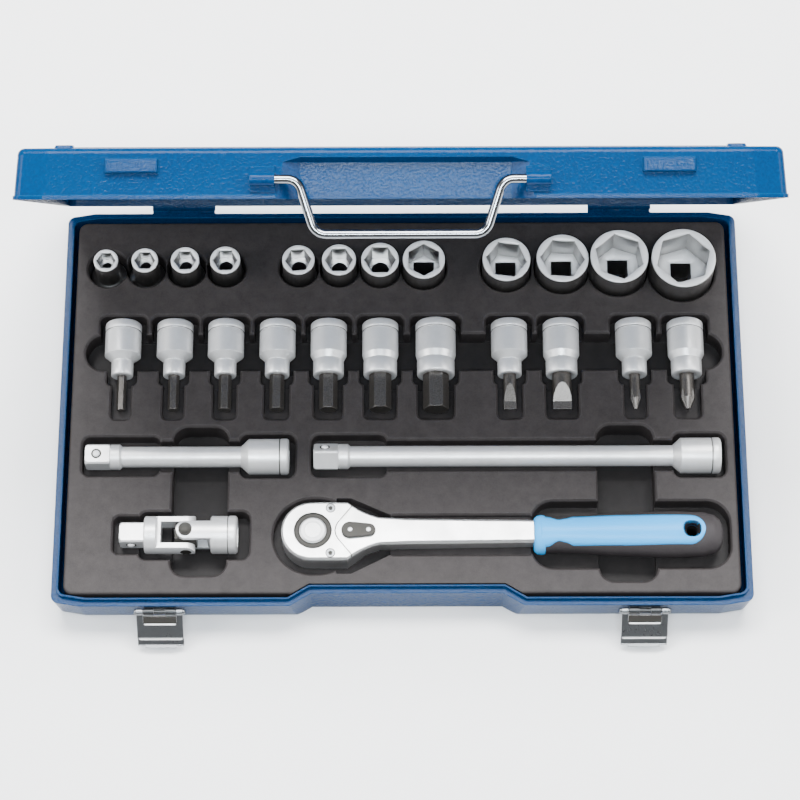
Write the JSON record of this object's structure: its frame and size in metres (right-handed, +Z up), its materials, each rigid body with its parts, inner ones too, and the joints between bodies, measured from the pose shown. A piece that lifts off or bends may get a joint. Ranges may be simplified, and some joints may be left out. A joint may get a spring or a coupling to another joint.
{
  "type": "socket wrench set in case",
  "caption": "Socket wrench set in a hinged steel case: sockets, bit sockets, extension bars, a universal joint and a reversible ratchet handle in a moulded insert.",
  "frame": {"origin": "middle of the tray's underside", "axes": "+X to the right along the case, +Y from the latches to the hinges, +Z up out of the tray"},
  "size_m": [0.4244, 0.3096, 0.2785],
  "materials": {
    "blue_hammertone": "hammered gloss enamel",
    "insert_plastic": "matt moulded sheet",
    "satin_chrome": "satin chrome plate",
    "bright_chrome": "polished chrome plate",
    "zinc_steel": "bright zinc plate",
    "bit_steel": "dark phosphated tool steel",
    "dark_steel": "black oxide",
    "grip_blue": "hard blue moulding",
    "grip_charcoal": "soft charcoal rubber"
  },
  "bodies": {
    "case_tray": {"tray_shell": "blue_hammertone", "tool_insert": "insert_plastic", "tray_hinge_leaves": "blue_hammertone", "hinge_pins": "blue_hammertone", "latch_brackets": "zinc_steel", "latch_pins": "zinc_steel", "latch_rivets": "zinc_steel"},
    "lid": {"lid_shell": "blue_hammertone", "lid_hinge_leaves": "blue_hammertone", "handle_brackets": "blue_hammertone"},
    "handle": {"carry_handle": "bright_chrome"},
    "latch_left": {"latch_left": "zinc_steel"},
    "latch_right": {"latch_right": "zinc_steel"},
    "socket_10": {"socket_10": "satin_chrome"},
    "socket_11": {"socket_11": "satin_chrome"},
    "socket_12": {"socket_12": "satin_chrome"},
    "socket_13": {"socket_13": "satin_chrome"},
    "socket_14": {"socket_14": "satin_chrome"},
    "socket_15": {"socket_15": "satin_chrome"},
    "socket_17": {"socket_17": "satin_chrome"},
    "socket_19": {"socket_19": "satin_chrome"},
    "socket_22": {"socket_22": "satin_chrome"},
    "socket_24": {"socket_24": "satin_chrome"},
    "socket_27": {"socket_27": "satin_chrome"},
    "socket_30": {"socket_30": "satin_chrome"},
    "bit_socket_hex_5": {"holder_hex_5": "satin_chrome", "bit_hex_5": "bit_steel"},
    "bit_socket_hex_6": {"holder_hex_6": "satin_chrome", "bit_hex_6": "bit_steel"},
    "bit_socket_hex_7": {"holder_hex_7": "satin_chrome", "bit_hex_7": "bit_steel"},
    "bit_socket_hex_8": {"holder_hex_8": "satin_chrome", "bit_hex_8": "bit_steel"},
    "bit_socket_hex_10": {"holder_hex_10": "satin_chrome", "bit_hex_10": "bit_steel"},
    "bit_socket_hex_12": {"holder_hex_12": "satin_chrome", "bit_hex_12": "bit_steel"},
    "bit_socket_hex_14": {"holder_hex_14": "satin_chrome", "bit_hex_14": "bit_steel"},
    "bit_socket_slot_8": {"holder_slot_8": "satin_chrome", "bit_slot_8": "bit_steel"},
    "bit_socket_slot_10": {"holder_slot_10": "satin_chrome", "bit_slot_10": "bit_steel"},
    "bit_socket_cross_2": {"holder_cross_2": "satin_chrome", "bit_cross_2": "bit_steel"},
    "bit_socket_cross_3": {"holder_cross_3": "satin_chrome", "bit_cross_3": "bit_steel"},
    "extension_short": {"extension_short": "satin_chrome"},
    "extension_long": {"extension_long": "satin_chrome"},
    "joint_socket_yoke": {"joint_socket_yoke": "satin_chrome"},
    "joint_cross": {"joint_cross": "satin_chrome"},
    "joint_drive_yoke": {"joint_drive_yoke": "satin_chrome"},
    "ratchet": {"ratchet_body": "satin_chrome", "ratchet_cover": "satin_chrome", "ratchet_screws": "dark_steel", "ratchet_pawl": "dark_steel", "grip_core": "grip_blue", "grip_pads": "grip_charcoal"},
    "ratchet_drive": {"ratchet_drive": "satin_chrome"},
    "ratchet_lever": {"ratchet_lever": "dark_steel"}
  },
  "joints": [
    {"name": "lid_hinge", "type": "hinge", "parent": "case_tray", "child": "lid", "pos_m": [0, 0.1365, 0.026], "axis": [-1, 0, 0], "range_deg": [-64.5, 45.5]},
    {"name": "handle_swing", "type": "hinge", "parent": "lid", "child": "handle", "pos_m": [0, 0.03023, 0.27434], "axis": [-1, 0, 0], "range_deg": [0, 170]},
    {"name": "latch_left_swing", "type": "hinge", "parent": "case_tray", "child": "latch_left", "pos_m": [-0.1465, -0.1342, 0.0235], "axis": [-1, 0, 0], "range_deg": [0, 138]},
    {"name": "latch_right_swing", "type": "hinge", "parent": "case_tray", "child": "latch_right", "pos_m": [0.1465, -0.1342, 0.0235], "axis": [-1, 0, 0], "range_deg": [0, 138]},
    {"name": "socket_10_lift", "type": "slide", "parent": "case_tray", "child": "socket_10", "axis": [0, 0, 1], "range_m": [0, 0.06]},
    {"name": "socket_11_lift", "type": "slide", "parent": "case_tray", "child": "socket_11", "axis": [0, 0, 1], "range_m": [0, 0.06]},
    {"name": "socket_12_lift", "type": "slide", "parent": "case_tray", "child": "socket_12", "axis": [0, 0, 1], "range_m": [0, 0.06]},
    {"name": "socket_13_lift", "type": "slide", "parent": "case_tray", "child": "socket_13", "axis": [0, 0, 1], "range_m": [0, 0.06]},
    {"name": "socket_14_lift", "type": "slide", "parent": "case_tray", "child": "socket_14", "axis": [0, 0, 1], "range_m": [0, 0.06]},
    {"name": "socket_15_lift", "type": "slide", "parent": "case_tray", "child": "socket_15", "axis": [0, 0, 1], "range_m": [0, 0.06]},
    {"name": "socket_17_lift", "type": "slide", "parent": "case_tray", "child": "socket_17", "axis": [0, 0, 1], "range_m": [0, 0.06]},
    {"name": "socket_19_lift", "type": "slide", "parent": "case_tray", "child": "socket_19", "axis": [0, 0, 1], "range_m": [0, 0.06]},
    {"name": "socket_22_lift", "type": "slide", "parent": "case_tray", "child": "socket_22", "axis": [0, 0, 1], "range_m": [0, 0.06]},
    {"name": "socket_24_lift", "type": "slide", "parent": "case_tray", "child": "socket_24", "axis": [0, 0, 1], "range_m": [0, 0.06]},
    {"name": "socket_27_lift", "type": "slide", "parent": "case_tray", "child": "socket_27", "axis": [0, 0, 1], "range_m": [0, 0.06]},
    {"name": "socket_30_lift", "type": "slide", "parent": "case_tray", "child": "socket_30", "axis": [0, 0, 1], "range_m": [0, 0.06]},
    {"name": "bit_socket_hex_5_lift", "type": "slide", "parent": "case_tray", "child": "bit_socket_hex_5", "axis": [0, 0, 1], "range_m": [0, 0.06]},
    {"name": "bit_socket_hex_6_lift", "type": "slide", "parent": "case_tray", "child": "bit_socket_hex_6", "axis": [0, 0, 1], "range_m": [0, 0.06]},
    {"name": "bit_socket_hex_7_lift", "type": "slide", "parent": "case_tray", "child": "bit_socket_hex_7", "axis": [0, 0, 1], "range_m": [0, 0.06]},
    {"name": "bit_socket_hex_8_lift", "type": "slide", "parent": "case_tray", "child": "bit_socket_hex_8", "axis": [0, 0, 1], "range_m": [0, 0.06]},
    {"name": "bit_socket_hex_10_lift", "type": "slide", "parent": "case_tray", "child": "bit_socket_hex_10", "axis": [0, 0, 1], "range_m": [0, 0.06]},
    {"name": "bit_socket_hex_12_lift", "type": "slide", "parent": "case_tray", "child": "bit_socket_hex_12", "axis": [0, 0, 1], "range_m": [0, 0.06]},
    {"name": "bit_socket_hex_14_lift", "type": "slide", "parent": "case_tray", "child": "bit_socket_hex_14", "axis": [0, 0, 1], "range_m": [0, 0.06]},
    {"name": "bit_socket_slot_8_lift", "type": "slide", "parent": "case_tray", "child": "bit_socket_slot_8", "axis": [0, 0, 1], "range_m": [0, 0.06]},
    {"name": "bit_socket_slot_10_lift", "type": "slide", "parent": "case_tray", "child": "bit_socket_slot_10", "axis": [0, 0, 1], "range_m": [0, 0.06]},
    {"name": "bit_socket_cross_2_lift", "type": "slide", "parent": "case_tray", "child": "bit_socket_cross_2", "axis": [0, 0, 1], "range_m": [0, 0.06]},
    {"name": "bit_socket_cross_3_lift", "type": "slide", "parent": "case_tray", "child": "bit_socket_cross_3", "axis": [0, 0, 1], "range_m": [0, 0.06]},
    {"name": "extension_short_lift", "type": "slide", "parent": "case_tray", "child": "extension_short", "axis": [0, 0, 1], "range_m": [0, 0.06]},
    {"name": "extension_long_lift", "type": "slide", "parent": "case_tray", "child": "extension_long", "axis": [0, 0, 1], "range_m": [0, 0.06]},
    {"name": "joint_socket_yoke_lift", "type": "slide", "parent": "case_tray", "child": "joint_socket_yoke", "axis": [0, 0, 1], "range_m": [0, 0.06]},
    {"name": "joint_yaw", "type": "hinge", "parent": "joint_socket_yoke", "child": "joint_cross", "pos_m": [-0.1314, -0.086, 0.026], "axis": [0, 0, 1], "range_deg": [-8, 8]},
    {"name": "joint_pitch", "type": "hinge", "parent": "joint_cross", "child": "joint_drive_yoke", "pos_m": [-0.1314, -0.086, 0.026], "axis": [0, 1, 0], "range_deg": [0, 35]},
    {"name": "ratchet_lift", "type": "slide", "parent": "case_tray", "child": "ratchet", "axis": [0, 0, 1], "range_m": [0, 0.06]},
    {"name": "drive_spin", "type": "hinge", "parent": "ratchet", "child": "ratchet_drive", "pos_m": [-0.054, -0.0875, 0.038], "axis": [0, 0, 1], "continuous": true},
    {"name": "lever_turn", "type": "hinge", "parent": "ratchet", "child": "ratchet_lever", "pos_m": [-0.0315, -0.0875, 0.038], "axis": [0, 0, 1], "range_deg": [-25, 25]}
  ]
}
